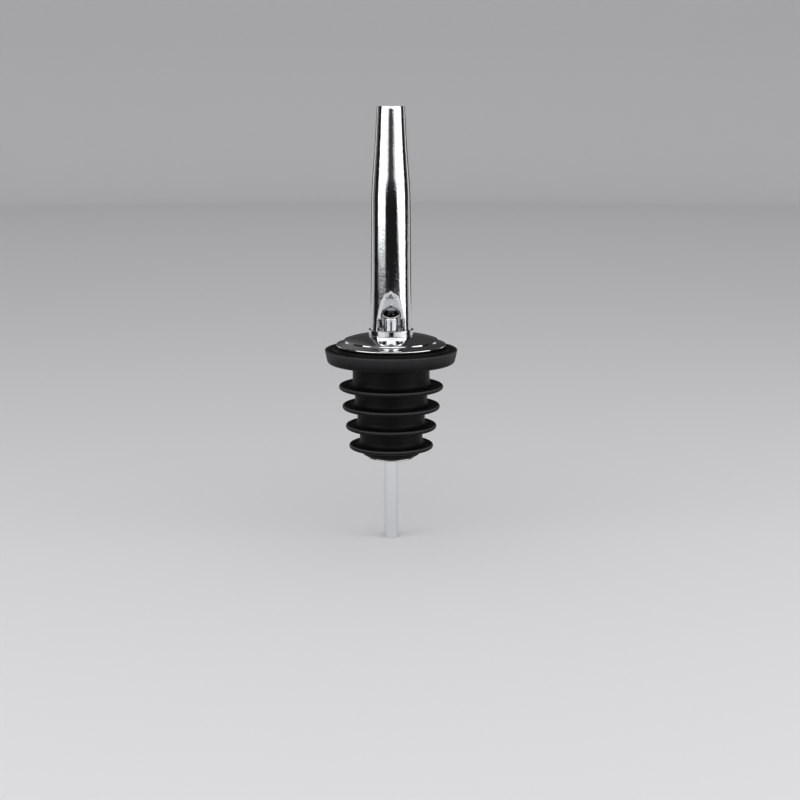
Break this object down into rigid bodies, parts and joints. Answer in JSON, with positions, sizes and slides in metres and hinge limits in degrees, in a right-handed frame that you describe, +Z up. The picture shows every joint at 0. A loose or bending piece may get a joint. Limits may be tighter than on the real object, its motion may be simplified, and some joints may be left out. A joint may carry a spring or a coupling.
{
  "type": "liquor pour spout",
  "caption": "Upright tapered metal pour spout with a side vent tube and domed cap, turning in a finned rubber bottle stopper.",
  "frame": {"origin": "on the spout's axis, in the plane of the flange's underside, where the pourer rests on the bottle's lip", "axes": "+Z up the spout towards its tip; the scoop with the vent tube's mouth faces -Y"},
  "size_m": [0.034, 0.034, 0.11],
  "materials": {
    "stopper_rubber": "matt black moulded rubber",
    "spout_chrome": "polished chrome with a faint drawn grain",
    "cap_chrome": "mirror chrome",
    "ferrule_chrome": "polished chrome",
    "vent_steel": "bright drawn tube",
    "shank_steel": "plain drawn steel tube",
    "solder_tin": "dull soft solder"
  },
  "bodies": {
    "stopper": {"rubber_stopper": "stopper_rubber"},
    "metalwork": {"spout_tube": "spout_chrome", "dome_cap": "cap_chrome", "ferrule_ring": "ferrule_chrome", "vent_tube": "vent_steel", "shank_tube": "shank_steel", "vent_solder": "solder_tin"}
  },
  "joints": [
    {"name": "spout_turn", "type": "hinge", "parent": "stopper", "child": "metalwork", "pos_m": [0, 0, 0], "axis": [0, 0, 1], "continuous": true}
  ]
}
